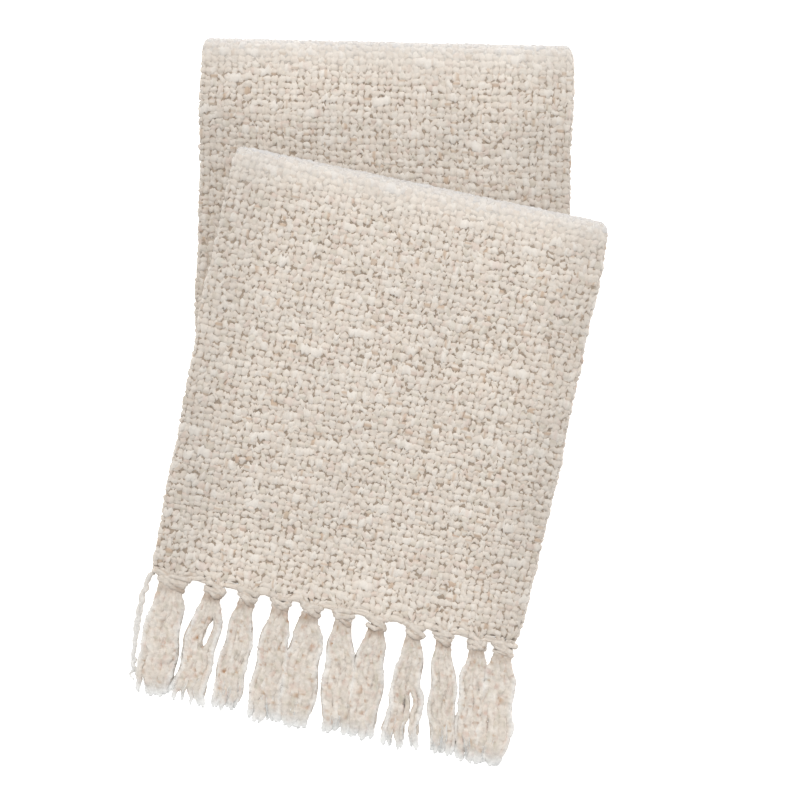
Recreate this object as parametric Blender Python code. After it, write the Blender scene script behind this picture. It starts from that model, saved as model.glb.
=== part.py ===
"""Boucle throw: one plain-woven cloth, fringed at both ends, folded in thirds and then three times across.

Metres, +Z up. The throw lies on Z = 0 with its folded top towards +Y and its open fringe towards -Y.
The cloth is one solid. The last weft rows of each end, with their tassels, are a solid of their own.
"""

import math

import bmesh
import bpy

MM = 0.001

# The cloth, as woven. Its length follows from SECTIONS.
CLOTH_WIDTH = 1270 * MM
CLOTH_THICK = 4.2 * MM
LAYER_PITCH = 4.8 * MM  # between the middles of two layers of the letter fold
SELVEDGE_IN = 4.0 * MM  # how far each selvedge stops short of the fold beside it

# The folds across: a strip of three layers turned back on itself.
FOLD_RADIUS = 7.55 * MM  # of the strip's middle layer
CORNER_IN = 7.0 * MM  # how far a fold's corners are drawn in
PUFF = 2.0 * MM  # how far a section stands up behind its fold
PUFF_REACH = 22 * MM
FLAP_WIDER = 0.02  # the flap is folded this much wider than the back
EDGE_WAVE = 1.6 * MM
FACE_WAVE = 1.1 * MM

# From the floor up. Length runs between the outer edges of a section's folds, heading clockwise from +Y.
SECTIONS = (
    # name, length, heading in degrees, rows
    ("bottom", 290 * MM, 1.1, 4),
    ("back", 418 * MM, 1.3, 9),
    ("inner", 255 * MM, 11.9, 6),
    ("flap", 502 * MM, 11.7, 15),
)
FOLD_ROWS = 6
ARC_STEPS = {"left": 3, "right": 5}
PANEL_STEPS = {"inner": 7, "middle": 8, "outer": 7}

# Where the stack lies lower: past the bottom section's end, past the inner fold and beside the back section.
SAG = 5.5 * MM
SAG_RUN = 120 * MM
FALL_START = -40 * MM
FALL_END = 215 * MM
FALL_BLEND = 65 * MM
OVERHANG = 40 * MM
OVERHANG_DROOP = 4.0 * MM

# The fringe: the last weft rows, and 33 tassels at each end, 11 on each panel.
GAP = 0.3 * MM
BAND_DEPTH = 5.0 * MM
ROOT_WIDTH = 11 * MM
KNOT_LENGTH = 15 * MM
KNOT_WIDTH = 23 * MM
LOW_KNOT_WIDTH = 17 * MM
KNOT_HEIGHT = 8.6 * MM
KNOT_ROUND = 0.35
LOW_KNOT_HALF = 2.05 * MM
STRAND_GAP = 0.9 * MM
STRAND_HEIGHT = 4.4 * MM
LOW_STRAND_HEIGHT = 2.6 * MM
STRAND_WAVE = 1.1 * MM
WAVE_LENGTH = 46 * MM
TIP_UNEVEN = 9 * MM
TIPS_CLOSE = 0.15
LOW_REACH = (0.70, 0.76, 0.82)  # tassels pressed under other layers, from the floor up
LOW_SPREAD = 0.5
LOOSE_STRAND = (0.10, 0.28, 0.46, 0.64, 0.82, 1.0)  # shares of a strand's length
LOW_STRAND = (0.3, 0.7, 1.0)
LOOSE_KNOT = (
    # share of the knot's length, of its width, of its height
    (0.12, 0.62, 0.55),
    (0.45, 1.0, 1.0),
    (0.80, 0.95, 0.90),
    (1.0, 0.70, 0.60),
)
LOW_KNOT = ((0.5, 1.0, 1.0), (1.0, 0.8, 0.8))

FRONT_TASSELS = (
    # place across the end, heading in degrees, reach from the end, spread: left to right
    (-198 * MM, 11.5, 136 * MM, 46 * MM),
    (-145 * MM, 14.0, 138 * MM, 42 * MM),
    (-106 * MM, 9.0, 140 * MM, 36 * MM),
    (-66 * MM, 8.5, 145 * MM, 38 * MM),
    (-30 * MM, 6.0, 143 * MM, 41 * MM),
    (6 * MM, 4.0, 138 * MM, 34 * MM),
    (48 * MM, 7.0, 139 * MM, 37 * MM),
    (88 * MM, 5.5, 140 * MM, 38 * MM),
    (123 * MM, 0.5, 141 * MM, 34 * MM),
    (161 * MM, 2.5, 141 * MM, 34 * MM),
    (194 * MM, 1.5, 139 * MM, 37 * MM),
)
BACK_TASSELS = tuple((39 * MM * (number - 5), 1.1, 104 * MM, 24 * MM) for number in range(11))

CREAM = (0.68, 0.59, 0.50, 1.0)
PALE_CREAM = (0.74, 0.66, 0.58, 1.0)

STACK = 2 * LAYER_PITCH + CLOTH_THICK  # the letter fold's thickness
FOLD_EDGE = FOLD_RADIUS + STACK / 2  # from a fold's line to its outer edge
LEFT_EDGE = (LAYER_PITCH + CLOTH_THICK) / 2  # the two side folds, from their centres to their outer faces
RIGHT_EDGE = LAYER_PITCH + CLOTH_THICK / 2
SIDE_ARCS = 1.5 * math.pi * LAYER_PITCH
STRIP_WIDTH = (CLOTH_WIDTH - SIDE_ARCS + 3 * (LEFT_EDGE + RIGHT_EDGE) + 2 * SELVEDGE_IN) / 3
LEFT_CENTRE = -STRIP_WIDTH / 2 + LEFT_EDGE
RIGHT_CENTRE = STRIP_WIDTH / 2 - RIGHT_EDGE


def smooth(value):
    """0 to 1 with level ends."""
    value = min(max(value, 0.0), 1.0)
    return value * value * (3 - 2 * value)


def heading_vector(degrees):
    """The plan direction that lies this far clockwise from +Y."""
    turn = math.radians(degrees)
    return math.sin(turn), math.cos(turn)


def fold_points():
    """Plan points on the strip's middle: its free end, each fold line and the flap's end."""
    x, y = 0.0, 0.0
    points = []
    for number, (_, length, heading, _) in enumerate(SECTIONS):
        up = 1 if number % 2 == 0 else -1
        across, along = heading_vector(heading)
        ends = 1 if number in (0, len(SECTIONS) - 1) else 2
        run = length - ends * FOLD_EDGE
        if number == 0:
            points.append((x, y))
        x += up * across * run
        y += up * along * run
        points.append((x, y))
    return points


POINTS = fold_points()
FOLD_TURNS = [(SECTIONS[i][2] + SECTIONS[i + 1][2]) / 2 for i in range(len(SECTIONS) - 1)]


def fold_distance(fold, x, y):
    """How far a plan point lies past a fold's line, on the side that the fold bulges to."""
    across, along = heading_vector(FOLD_TURNS[fold])
    out = 1 if fold % 2 == 0 else -1
    return out * ((x - POINTS[fold + 1][0]) * across + (y - POINTS[fold + 1][1]) * along)


def fall_share(distance):
    """The share of its height that the flap has lost this far past the inner fold, with eased ends."""
    run = FALL_END - FALL_START
    share = min(max(distance - FALL_START, 0.0), run)
    steep = run - FALL_BLEND
    if share < FALL_BLEND:
        return share * share / (2 * FALL_BLEND * steep)
    if share > run - FALL_BLEND:
        left = run - share
        return 1 - left * left / (2 * FALL_BLEND * steep)
    return (share - FALL_BLEND / 2) / steep


def puff(distance):
    """How far a section stands up at this distance behind its fold."""
    return PUFF * (1 - math.exp(-max(distance, 0.0) / PUFF_REACH))


def past_back_edge(x, y):
    """How far a plan point lies past the right edge of the back section."""
    across, along = heading_vector(SECTIONS[1][2])
    return (x - POINTS[1][0]) * along - (y - POINTS[1][1]) * across - STRIP_WIDTH / 2


def face_wave(x, y):
    """The slow unevenness of a face that lies on soft layers."""
    broad = math.sin(x / (61 * MM) + 0.8) * math.cos(y / (74 * MM))
    return FACE_WAVE * (broad + 0.4 * math.sin(y / (33 * MM)))


def settle(x, y, z, level):
    """Lowers and waves a point of the flat stack. Level is 0 in the bottom section and 3 in the flap."""
    on_bottom = -fold_distance(0, x, y)
    unheld = smooth((on_bottom - (SECTIONS[0][1] - 2 * FOLD_EDGE)) / SAG_RUN)
    rise = (puff(on_bottom) - SAG * unheld) * min(level, 1.0)
    rise += puff(-fold_distance(2, x, y)) * max(level - 2, 0.0)
    rise -= OVERHANG_DROOP * smooth(past_back_edge(x, y) / OVERHANG) * smooth(level - 1)
    rise += face_wave(x, y) * level / 3
    fall = fall_share(fold_distance(1, x, y) - FOLD_EDGE) * max(level - 2, 0.0)
    return z + rise * (1 - fall) - 3 * 2 * FOLD_RADIUS * fall


def edge_wave(side, y):
    """How far the strip's left (-1) or right (1) edge strays at a plan place."""
    return EDGE_WAVE * (math.sin(y / (38 * MM) + 1.3 * side) + 0.6 * math.sin(y / (17 * MM) + side)) / 1.6


def along_section(number, share, x):
    """The plan point at place x across and this share of a section's length."""
    heading = SECTIONS[number][2]
    across, along = heading_vector(heading)
    ends = []
    for end in (number, number + 1):
        point = POINTS[end]
        skew = 0.0
        if 0 < end < len(POINTS) - 1:
            skew = x * math.tan(math.radians(FOLD_TURNS[end - 1] - heading))
        ends.append((point[0] + x * along - skew * across, point[1] - x * across - skew * along))
    (x0, y0), (x1, y1) = ends
    return x0 + (x1 - x0) * share, y0 + (y1 - y0) * share


def round_fold(number, share, x, height):
    """The plan point and height of a strip point that has gone this share of the way round a fold."""
    face = 1 if number % 2 == 0 else -1
    turn = math.pi * share
    across, along = heading_vector(FOLD_TURNS[number])
    radius = FOLD_RADIUS - face * height
    out = radius * math.sin(turn) * face
    drawn_in = CORNER_IN * math.sin(turn) * abs(x / (STRIP_WIDTH / 2)) ** 8 * math.copysign(1, x)
    px, py = along_section(number, 1.0, x)
    lift = FOLD_RADIUS - radius * math.cos(turn)
    return px + out * across - drawn_in * along, py + out * along + drawn_in * across, lift


def strip_place(row, x, height):
    """The place in space of a strip point, from its row, its place across and its height in the stack."""
    kind, number, share = row
    wider = number - 2 + (share if kind == "lie" else 1.0)
    x *= 1 + FLAP_WIDER * min(max(wider, 0.0), 1.0)
    if kind == "lie":
        px, py = along_section(number, share, x)
        lift = height if number % 2 == 0 else -height
        level = float(number)
    else:
        px, py, lift = round_fold(number, share, x, height)
        level = number + smooth(share)
    side = x / (STRIP_WIDTH / 2)
    px += edge_wave(-1, py) * (1 - side) / 2 + edge_wave(1, py) * (1 + side) / 2
    return px, py, settle(px, py, STACK / 2 + number * 2 * FOLD_RADIUS + lift, level)


def side_arc(centre, height, radius, side, steps):
    """The line's points round a side fold: downwards on the left side (-1), upwards on the right (1)."""
    points = []
    for step in range(1, steps):
        turn = math.pi * step / steps
        out, over = side * math.sin(turn), -side * math.cos(turn)
        points.append((centre + radius * out, height + radius * over, out, over))
    return points


def letter_fold(panel_stops):
    """The cloth's middle line across the strip, as (x, height, normal x, normal height).

    In the bottom section the middle panel is lowest, the inner panel lies on it and the outer panel on both.
    panel_stops gives each panel's places along x, from left to right."""
    line = [(x, 0.0, 0.0, 1.0) for x in reversed(panel_stops["inner"])]
    line += side_arc(LEFT_CENTRE, -LAYER_PITCH / 2, LAYER_PITCH / 2, -1, ARC_STEPS["left"])
    line += [(x, -LAYER_PITCH, 0.0, -1.0) for x in panel_stops["middle"]]
    line += side_arc(RIGHT_CENTRE, 0.0, LAYER_PITCH, 1, ARC_STEPS["right"])
    line += [(x, LAYER_PITCH, 0.0, 1.0) for x in reversed(panel_stops["outer"])]
    return line


def panel_span(panel):
    """A panel's two ends along x."""
    left = LEFT_CENTRE + (SELVEDGE_IN if panel == "outer" else 0.0)
    right = RIGHT_CENTRE - (SELVEDGE_IN if panel == "inner" else 0.0)
    return left, right


def even_stops():
    """Evenly spaced places along each panel."""
    stops = {}
    for panel, steps in PANEL_STEPS.items():
        left, right = panel_span(panel)
        stops[panel] = [left + (right - left) * step / steps for step in range(steps + 1)]
    return stops


def strip_rows():
    """The rows of the whole strip, from its free end to the flap's, without the two fringe bands."""
    band = BAND_DEPTH + GAP
    rows = []
    last = len(SECTIONS) - 1
    for number, (_, length, _, count) in enumerate(SECTIONS):
        run = length - (FOLD_EDGE if number in (0, last) else 2 * FOLD_EDGE)
        start = band / run if number == 0 else 0.0
        end = 1 - band / run if number == last else 1.0
        rows += [("lie", number, start + (end - start) * step / count) for step in range(count + 1)]
        if number < last:
            rows += [("fold", number, step / FOLD_ROWS) for step in range(1, FOLD_ROWS)]
    return rows


def both_faces(bm, row, line):
    """One row of vertices on each face of the cloth."""
    faces = []
    for out in (CLOTH_THICK / 2, -CLOTH_THICK / 2):
        places = [strip_place(row, x + out * nx, height + out * nh) for x, height, nx, nh in line]
        faces.append([bm.verts.new(place) for place in places])
    return faces


def add_shell(bm, rows, open_end=()):
    """Closes a shell round rows of vertices. The last row's edge stays open at the columns in open_end."""
    for (outer_a, inner_a), (outer_b, inner_b) in zip(rows, rows[1:]):
        for i in range(len(outer_a) - 1):
            bm.faces.new((outer_a[i], outer_b[i], outer_b[i + 1], outer_a[i + 1]))
            bm.faces.new((inner_a[i], inner_a[i + 1], inner_b[i + 1], inner_b[i]))
        bm.faces.new((outer_a[0], inner_a[0], inner_b[0], outer_b[0]))
        bm.faces.new((outer_a[-1], outer_b[-1], inner_b[-1], inner_a[-1]))
    (outer_a, inner_a), (outer_b, inner_b) = rows[0], rows[-1]
    for i in range(len(outer_a) - 1):
        bm.faces.new((outer_a[i], outer_a[i + 1], inner_a[i + 1], inner_a[i]))
        if i not in open_end:
            bm.faces.new((outer_b[i], inner_b[i], inner_b[i + 1], outer_b[i + 1]))


def make_material(name, colour):
    """Undyed looped wool-blend yarn."""
    material = bpy.data.materials.new(name)
    material.use_nodes = True
    shader = material.node_tree.nodes["Principled BSDF"]
    shader.inputs["Base Color"].default_value = colour
    shader.inputs["Roughness"].default_value = 0.95
    shader.inputs["Metallic"].default_value = 0.0
    return material


def finish(name, bm, colour):
    """Turns a built body into a named, smoothly shaded object with its own material."""
    bmesh.ops.recalc_face_normals(bm, faces=bm.faces)
    mesh = bpy.data.meshes.new(name)
    bm.to_mesh(mesh)
    bm.free()
    mesh.materials.append(make_material(name, colour))
    mesh.shade_smooth()
    body = bpy.data.objects.new(name, mesh)
    bpy.context.scene.collection.objects.link(body)
    return body


def make_cloth():
    """The whole cloth but for the last weft rows of its ends."""
    bm = bmesh.new()
    line = letter_fold(even_stops())
    add_shell(bm, [both_faces(bm, row, line) for row in strip_rows()])
    return finish("cloth", bm, CREAM)


def fringe_line(end):
    """The line across an end, with places for its tassels' roots, and each root's columns, left to right."""
    stops, firsts = {}, {}
    for panel in PANEL_STEPS:
        left, right = panel_span(panel)
        count = end["strands"][end["layers"].index(panel)]
        stops[panel], firsts[panel] = [left], []
        for place, _, _, _ in end["tassels"]:
            firsts[panel].append(len(stops[panel]))
            stops[panel] += [place + ROOT_WIDTH * (step / count - 0.5) for step in range(count + 1)]
        stops[panel].append(right)
    inner, middle = len(stops["inner"]), len(stops["middle"])
    middle_start = inner + ARC_STEPS["left"] - 1
    last = middle_start + middle + ARC_STEPS["right"] - 1 + len(stops["outer"]) - 1
    roots = []
    for layer, panel in enumerate(end["layers"]):
        count = end["strands"][layer]
        for number, first in enumerate(firsts[panel]):
            places = range(first, first + count + 1)
            if panel == "middle":
                columns = [middle_start + place for place in places]
            else:
                columns = [(inner - 1 if panel == "inner" else last) - place for place in places]
            roots.append((layer, number, columns))
    return letter_fold(stops), roots


def tassel_shape(end, layer, number):
    """One tassel's own sizes. The loose ones on top are full, and those under them are flat and short."""
    place, heading, reach, spread = end["tassels"][number]
    loose = end["loose"] and layer == 2
    return {
        "start": along_section(end["section"], end["share"], place),
        "turned": heading_vector(heading),
        "place": place,
        "layer": layer,
        "loose": loose,
        "strands": end["strands"][layer],
        "reach": reach if loose else reach * LOW_REACH[layer],
        "spread": spread if loose else spread * LOW_SPREAD,
        "knot_wide": KNOT_WIDTH if loose else LOW_KNOT_WIDTH,
        "knot_low": STACK / 2 + (layer - 1) * LAYER_PITCH - LOW_KNOT_HALF,
        "knot_high": KNOT_HEIGHT if loose else 2 * LOW_KNOT_HALF,
        "strand_high": STRAND_HEIGHT if loose else LOW_STRAND_HEIGHT,
    }


def place_at(shape, along, sideways, z):
    """A point this far along a tassel from the cloth's end, and this far to its right."""
    (x, y), (across, down) = shape["start"], shape["turned"]
    return x - across * along + down * sideways, y - down * along - across * sideways, z


def join_rings(bm, ring_a, ring_b):
    """Walls between two flat rings of a knot, each a top row and a low row."""
    (top_a, low_a), (top_b, low_b) = ring_a, ring_b
    for i in range(len(top_a) - 1):
        bm.faces.new((top_a[i], top_b[i], top_b[i + 1], top_a[i + 1]))
        bm.faces.new((low_a[i], low_a[i + 1], low_b[i + 1], low_b[i]))
    bm.faces.new((top_a[0], low_a[0], low_b[0], top_b[0]))
    bm.faces.new((top_a[-1], top_b[-1], low_b[-1], low_a[-1]))


def add_knot(bm, shape, root_ring):
    """The knot that gathers a tassel's strands against the cloth's end. Returns its last ring."""
    ring = root_ring
    for along, wide, high in LOOSE_KNOT if shape["loose"] else LOW_KNOT:
        half = shape["knot_high"] / 2
        rows = ([], [])
        for step in range(shape["strands"] + 1):
            side = 2 * step / shape["strands"] - 1
            lift = half * high * (1 - KNOT_ROUND * side * side)
            sideways = side * wide * shape["knot_wide"] / 2
            for row, z in zip(rows, (lift, -lift)):
                place = place_at(shape, KNOT_LENGTH * along, sideways, shape["knot_low"] + half + z)
                row.append(bm.verts.new(place))
        join_rings(bm, ring, rows)
        ring = rows
    return ring


def strand_bed(shape, share, sideways):
    """How high a strand's underside lies: on the strands under it, or on the floor beside and past them."""
    bed = shape["layer"] * (LOW_STRAND_HEIGHT + GAP)
    if not shape["loose"]:
        return bed
    if abs(sideways) > shape["spread"] * LOW_SPREAD / 2:
        return bed * (1 - smooth((share - 0.1) / 0.4))
    return bed * (1 - smooth((share - 0.82) / 0.18))


def add_strand(bm, shape, base, number):
    """One strand: a four-sided run from its part of the knot to its tip."""
    side = (number + 0.5) / shape["strands"] * 2 - 1
    uneven = 0.5 + 0.5 * math.sin(7.3 * number + 61 * shape["place"] / MM)
    length = shape["reach"] - KNOT_LENGTH - (TIP_UNEVEN * uneven if shape["loose"] else 0.0)
    knot_side = side * shape["knot_wide"] / 2 * LOOSE_KNOT[-1][1]
    start_z = base[2].co.z
    full = shape["spread"] / shape["strands"] - STRAND_GAP
    ring = base
    for share in LOOSE_STRAND if shape["loose"] else LOW_STRAND:
        open_up = smooth(share / 0.35)
        at_rest = side * shape["spread"] / 2 * (1 - TIPS_CLOSE * smooth((share - 0.4) / 0.6))
        sway = STRAND_WAVE * math.sin(2 * math.pi * share * length / WAVE_LENGTH + shape["place"] / (9 * MM))
        sideways = knot_side + (at_rest - knot_side) * open_up + sway * open_up
        taper = 0.6 if share == 1 else 1.0
        wide = full * taper * (0.8 + 0.2 * open_up) * (1 - TIPS_CLOSE * smooth((share - 0.4) / 0.6))
        low = strand_bed(shape, share, side * shape["spread"] / 2)
        low += max(start_z - low, 0.0) * (1 - smooth(share / 0.3))
        corners = ((-0.5, taper), (0.5, taper), (0.5, 0.0), (-0.5, 0.0))
        along = KNOT_LENGTH + length * share
        new = [
            bm.verts.new(place_at(shape, along, sideways + across * wide, low + up * shape["strand_high"]))
            for across, up in corners
        ]
        for i in range(4):
            bm.faces.new((ring[i], new[i], new[(i + 1) % 4], ring[(i + 1) % 4]))
        ring = new
    bm.faces.new(ring)


def make_fringe(name, end):
    """The last weft rows of one end, 0.3 mm from the cloth, with every layer's tassels knotted into them."""
    bm = bmesh.new()
    line, roots = fringe_line(end)
    rows = [both_faces(bm, row, line) for row in end["rows"]]
    open_end = {min(a, b) for _, _, columns in roots for a, b in zip(columns, columns[1:])}
    add_shell(bm, rows, open_end)
    outer, inner = rows[-1]
    for layer, number, columns in roots:
        shape = tassel_shape(end, layer, number)
        ring = [[face[column] for column in columns] for face in (outer, inner)]
        ring.sort(key=lambda row: -row[0].co.z)
        top, low = add_knot(bm, shape, ring)
        for strand in range(shape["strands"]):
            base = (top[strand], top[strand + 1], low[strand + 1], low[strand])
            add_strand(bm, shape, base, strand)
    return finish(name, bm, PALE_CREAM)


def end_rows(section, outermost):
    """The two rows of a fringe band, the one with the tassels last."""
    run = SECTIONS[section][1] - FOLD_EDGE
    inward = abs(outermost - BAND_DEPTH / run)
    return [("lie", section, inward), ("lie", section, outermost)]


def centre_on_floor(bodies):
    """Moves the throw so that its box is centred on the origin and stands on Z = 0."""
    corners = [vertex.co for body in bodies for vertex in body.data.vertices]
    lows = [min(corner[axis] for corner in corners) for axis in range(3)]
    highs = [max(corner[axis] for corner in corners) for axis in range(3)]
    shift = (-(lows[0] + highs[0]) / 2, -(lows[1] + highs[1]) / 2, -lows[2])
    for body in bodies:
        for vertex in body.data.vertices:
            vertex.co = [value + move for value, move in zip(vertex.co, shift)]


FRONT_END = {
    "section": 3,
    "share": 1.0,
    "rows": end_rows(3, 1.0),
    "layers": ("outer", "inner", "middle"),
    "strands": (2, 2, 5),
    "tassels": FRONT_TASSELS,
    "loose": True,
}
BACK_END = {
    "section": 0,
    "share": 0.0,
    "rows": end_rows(0, 0.0),
    "layers": ("middle", "inner", "outer"),
    "strands": (2, 2, 2),
    "tassels": BACK_TASSELS,
    "loose": False,
}

for old in list(bpy.data.objects):
    bpy.data.objects.remove(old)
cloth = make_cloth()
front_fringe = make_fringe("front_fringe", FRONT_END)
back_fringe = make_fringe("back_fringe", BACK_END)
centre_on_floor([cloth, front_fringe, back_fringe])
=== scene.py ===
"""Looks for the folded boucle throw: its woven yarns, knots and tassels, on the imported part's own folds."""

import math

import bpy
import numpy as np
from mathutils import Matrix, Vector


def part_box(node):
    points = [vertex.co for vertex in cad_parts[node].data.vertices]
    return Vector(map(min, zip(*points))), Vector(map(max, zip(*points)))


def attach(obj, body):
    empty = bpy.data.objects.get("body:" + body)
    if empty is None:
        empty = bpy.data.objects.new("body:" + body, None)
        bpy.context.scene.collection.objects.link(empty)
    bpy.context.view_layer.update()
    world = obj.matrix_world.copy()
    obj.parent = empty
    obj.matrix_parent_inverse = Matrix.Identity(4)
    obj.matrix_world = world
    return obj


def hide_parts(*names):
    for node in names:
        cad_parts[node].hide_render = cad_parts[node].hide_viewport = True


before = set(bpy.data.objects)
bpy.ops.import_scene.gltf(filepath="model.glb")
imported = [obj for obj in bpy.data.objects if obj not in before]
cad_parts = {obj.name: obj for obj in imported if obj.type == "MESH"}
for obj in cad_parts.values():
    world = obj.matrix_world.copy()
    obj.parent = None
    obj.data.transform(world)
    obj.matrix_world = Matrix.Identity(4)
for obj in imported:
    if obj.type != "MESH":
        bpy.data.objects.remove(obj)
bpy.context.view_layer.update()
bpy.ops.object.select_all(action="DESELECT")


# --- The surface, light and camera ---
# A plain white light table, lit from below. One broad, far, soft lamp past the folded edge and a white room
# light the throw. The camera looks straight down from 2.5 m, with the fringe at the bottom of the view.
CAMERA_HEIGHT = 2.5
VIEW_WIDTH = 0.9334  # what the camera takes in on the table
CAMERA_PLACE = (0.0385, 0.0052)
TABLE_WIDTH, TABLE_BELOW, TABLE_GLOW = 24.0, 0.0004, 0.7  # it lies just clear of the throw
LAMP_PLACE, LAMP_LEAN, LAMP_SPREAD, LAMP_STRENGTH = (0.0, 1.6, 2.8), -30, 34, 1.7
ROOM_STRENGTH = 0.67


def linear(hex_colour):
    """An sRGB hex colour as linear numbers."""
    channels = [int(hex_colour[i : i + 2], 16) / 255 for i in (0, 2, 4)]
    return np.array([c / 12.92 if c <= 0.04045 else ((c + 0.055) / 1.055) ** 2.4 for c in channels] + [1.0])


def new_material(name, settings):
    """A material and its shader, with these numbers and colours on the shader's own sockets."""
    material = bpy.data.materials.new(name)
    material.use_nodes = True
    shader = material.node_tree.nodes["Principled BSDF"]
    for socket, value in settings.items():
        shader.inputs[socket].default_value = value
    return material, shader


# opal acrylic: matt and lit from below, so that it takes only the faintest shadow
opal_acrylic, _ = new_material("lit_opal_acrylic", {
    "Base Color": linear("FBFBFB"),
    "Roughness": 0.9,
    "Specular IOR Level": 0.1,
    "Emission Color": linear("FFFFFF"),
    "Emission Strength": TABLE_GLOW,
})
bpy.ops.mesh.primitive_plane_add(size=TABLE_WIDTH, location=(0, 0, -TABLE_BELOW))
table = bpy.context.object
table.name = "table_top"
bpy.ops.object.transform_apply()
table.data.materials.append(opal_acrylic)
table.select_set(False)

bpy.ops.object.camera_add(location=(*CAMERA_PLACE, CAMERA_HEIGHT), rotation=(0, 0, 0))
camera = bpy.context.object
camera.data.sensor_fit = "HORIZONTAL"
camera.data.lens = camera.data.sensor_width * CAMERA_HEIGHT / VIEW_WIDTH
bpy.context.scene.camera = camera
camera.select_set(False)

bpy.ops.object.light_add(type="SUN", location=LAMP_PLACE, rotation=(math.radians(LAMP_LEAN), 0, 0))
lamp = bpy.context.object
lamp.name = "soft_lamp"
lamp.data.energy = LAMP_STRENGTH
lamp.data.angle = math.radians(LAMP_SPREAD)
lamp.select_set(False)

world = bpy.data.worlds.new("white_room")
world.use_nodes = True
room_light = world.node_tree.nodes["Background"]
room_light.inputs["Color"].default_value = linear("FFFFFF")
room_light.inputs["Strength"].default_value = ROOM_STRENGTH
bpy.context.scene.world = world
bpy.context.scene.view_settings.view_transform = "Standard"


# --- The ground of the cloth ---
# One plain-woven cloth of undyed boucle, 127 cm wide, folded in thirds along its length and then three times
# across. This is its felted ground: a thin closed sheet in those folds, that the thick yarns are woven over.
# Where the yarns cover it, it is painted dark, as painted shade in the holes between them.
MM = 0.001
CLOTH_WIDTH = 1270 * MM
CLOTH_THICK = 4.2 * MM
LAYER_PITCH = 4.8 * MM
SELVEDGE_IN = 4.0 * MM
FOLD_RADIUS = 7.55 * MM
CORNER_IN = 3.0 * MM  # how far a fold's corners draw in: the full yarns fill them out
PUFF, PUFF_REACH = 2.0 * MM, 22 * MM  # how a section stands up behind its fold
FLAP_WIDER = 0.02
EDGE_WAVE, FACE_WAVE = 1.6 * MM, 1.1 * MM
# the strip's four sections, folded one on another: bottom, back, inner and flap
LENGTHS = (290 * MM, 418 * MM, 255 * MM, 502 * MM)  # between the outer edges of their folds
HEADINGS = (1.1, 1.3, 11.9, 11.7)  # in degrees clockwise from +Y
SAG, SAG_RUN = 5.5 * MM, 120 * MM  # the back section settles past the bottom section's end
FALL_START, FALL_END, FALL_BLEND = -40 * MM, 215 * MM, 65 * MM  # the flap's slope down to the table
OVERHANG, OVERHANG_DROOP = 40 * MM, 4.0 * MM  # the flap's side droops past the back section

STACK = 2 * LAYER_PITCH + CLOTH_THICK
FOLD_EDGE = FOLD_RADIUS + STACK / 2
LEFT_EDGE = (LAYER_PITCH + CLOTH_THICK) / 2  # from the strip's edge to where its side fold starts to turn
RIGHT_EDGE = LAYER_PITCH + CLOTH_THICK / 2
STRIP_WIDTH = (CLOTH_WIDTH - 1.5 * math.pi * LAYER_PITCH + 3 * (LEFT_EDGE + RIGHT_EDGE) + 2 * SELVEDGE_IN) / 3
LEFT_CENTRE = -STRIP_WIDTH / 2 + LEFT_EDGE
RIGHT_CENTRE = STRIP_WIDTH / 2 - RIGHT_EDGE
PANEL = RIGHT_CENTRE - LEFT_CENTRE  # the middle panel's flat width
BULGE = 1.5 * MM  # yarn spacing round a fold is measured this far outside the cloth's middle
LEFT_ARC, RIGHT_ARC = math.pi * (LAYER_PITCH / 2 + BULGE), math.pi * (LAYER_PITCH + BULGE)
GROUND_OUT = 0.9 * MM  # the ground's outer face where yarns cover it
GROUND_BACK = 8 * MM  # the ground ends this far behind the last wefts
ROW_STEP, FOLD_STEPS = 14 * MM, 10  # the ground's rows, on a section and round a fold across
SMOOTH_HIGHLIGHT_FULL, SMOOTH_HIGHLIGHT_FADE = 14 * MM, 46 * MM  # how far the top folds stay fully smoothed and painted pale, as a painted highlight, and then fade
BACK_PAINTED_SHADE, SIDES_PAINTED_SHADE, FLAP_SIDES_PAINTED_SHADE = 0.09, 0.07, 0.10  # painted shade: how much darker the back section below the flap and the strip's sides are painted
CORNER_DRAW, CORNER_RUN = 5 * MM, 45 * MM  # the flap's right-hand corner draws in over this length
KNOT_PULL, KNOT_REACH, KNOT_DRAW = 16 * MM, 22 * MM, 0.4  # each knot draws the last rows in towards itself
ARCH, ARCH_HALF, ARCH_BACK = 5.5 * MM, 10 * MM, 2.0 * MM  # and the edge down, in arches
LEFT_REACH, RIGHT_REACH = 20 * MM, 28 * MM  # how far round the side folds the yarns are woven
SIDE_IN = 10 * MM  # how far in from the side folds the sections beneath are woven
COVER_PAST, SIDE_FADE, END_FADE = 2 * MM, 6 * MM, 8 * MM  # how the ground goes from covered to bare
FRONT_TASSELS = (
    # place across the end, reach, spread and width at the knot in mm, heading in degrees, and narrowing
    (-193, 143, 45, 38, 10.8, 0.18),
    (-142, 145, 37, 25, 14.6, -0.05),
    (-103.5, 143, 34, 22, 12.0, 0.08),
    (-64, 148, 38, 23, 9.2, 0.05),
    (-28, 147, 43, 24, 9.3, 0.08),
    (9, 146, 38, 22, 3.5, 0.05),
    (49.5, 144, 39, 23, 9.2, 0.10),
    (94, 147, 35, 21, 7.2, -0.05),
    (128, 146, 32, 22, 0.5, 0.12),
    (168, 147, 34, 22, 4.2, 0.0),
    (200, 145, 44, 25, 8.0, 0.10),
)


def smooth(value):
    """0 to 1 with level ends."""
    value = np.clip(value, 0.0, 1.0)
    return value * value * (3 - 2 * value)


def heading_vector(degrees):
    """The plan direction that lies this far clockwise from +Y."""
    return math.sin(math.radians(degrees)), math.cos(math.radians(degrees))


def section_run(number):
    """A section's flat length between its fold lines."""
    ends = 1 if number in (0, len(LENGTHS) - 1) else 2
    return LENGTHS[number] - ends * FOLD_EDGE


def fold_points():
    """Plan points on the strip's middle: its free end, each fold line and the flap's end."""
    points = [(0.0, 0.0)]
    for number, heading in enumerate(HEADINGS):
        across, along = heading_vector(heading)
        run = section_run(number) * (1 if number % 2 == 0 else -1)
        points.append((points[-1][0] + across * run, points[-1][1] + along * run))
    return points


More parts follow.
